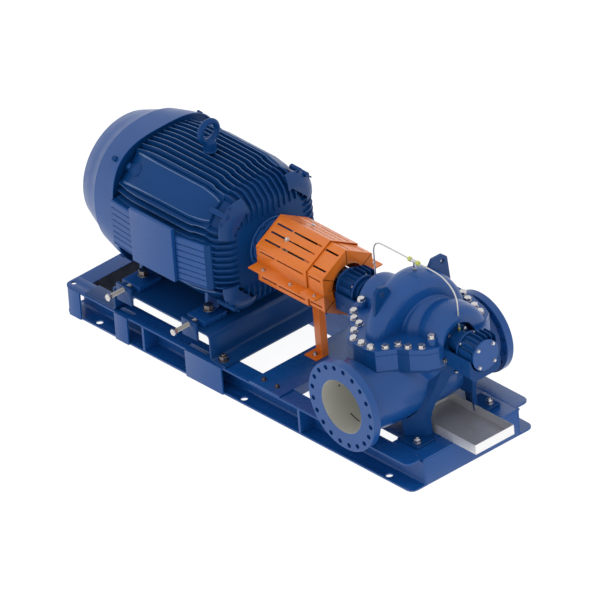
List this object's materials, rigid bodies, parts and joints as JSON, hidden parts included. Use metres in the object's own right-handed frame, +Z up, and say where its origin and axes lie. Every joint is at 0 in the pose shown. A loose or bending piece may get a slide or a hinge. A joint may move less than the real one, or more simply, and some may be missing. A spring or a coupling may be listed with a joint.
{
  "type": "horizontal split case pump set",
  "caption": "Electric motor, guarded coupling and horizontal split case pump with side nozzles, on a welded channel base with a drip tray.",
  "frame": {"origin": "middle of the set's footprint, on the ground", "axes": "+X along the shaft from motor to pump, +Y towards the discharge side, +Z up"},
  "size_m": [3.289, 1.256, 1.476],
  "materials": {
    "blue_paint": "satin",
    "orange_paint": "satin",
    "bright_steel": "bright zinc",
    "stainless_sheet": "brushed",
    "stainless_tube": "drawn",
    "plated_fitting": "yellow passivated"
  },
  "bodies": {
    "root": {"base_motor_end_channel": "blue_paint", "base_pump_end_plate": "blue_paint", "base_rail_far": "blue_paint", "base_rail_near": "blue_paint", "bearing_bracket_drive_end": "blue_paint", "bearing_bracket_free_end": "blue_paint", "bearing_cap_drive_end": "blue_paint", "bearing_cap_free_end": "blue_paint", "bearing_housing_drive_end": "blue_paint", "bearing_housing_free_end": "blue_paint", "coupling_hub_motor": "bright_steel", "coupling_hub_pump": "bright_steel", "coupling_spacer": "bright_steel", "drip_tray": "stainless_sheet", "drive_end_shield": "blue_paint", "fan_cover": "blue_paint", "flush_tee": "plated_fitting", "flush_tube_drive_end": "stainless_tube", "flush_tube_free_end": "stainless_tube", "guard_cover_lower": "orange_paint", "guard_cover_upper": "orange_paint", "guard_cross_beam": "blue_paint", "guard_post": "orange_paint", "guard_sleeve_lower": "orange_paint", "guard_sleeve_upper": "orange_paint", "jacking_bolt_far_front": "bright_steel", "jacking_bolt_far_rear": "bright_steel", "jacking_bolt_near_front": "bright_steel", "jacking_bolt_near_rear": "bright_steel", "lifting_eye": "blue_paint", "lower_casing": "blue_paint", "motor_foot_far_front": "blue_paint", "motor_foot_far_rear": "blue_paint", "motor_foot_near_front": "blue_paint", "motor_foot_near_rear": "blue_paint", "motor_frame": "blue_paint", "motor_shaft": "bright_steel", "motor_table": "blue_paint", "pump_deck": "blue_paint", "pump_shaft": "bright_steel", "seal_gland_drive_end": "blue_paint", "seal_gland_free_end": "blue_paint", "terminal_cover": "blue_paint", "upper_casing": "blue_paint"}
  },
  "joints": []
}
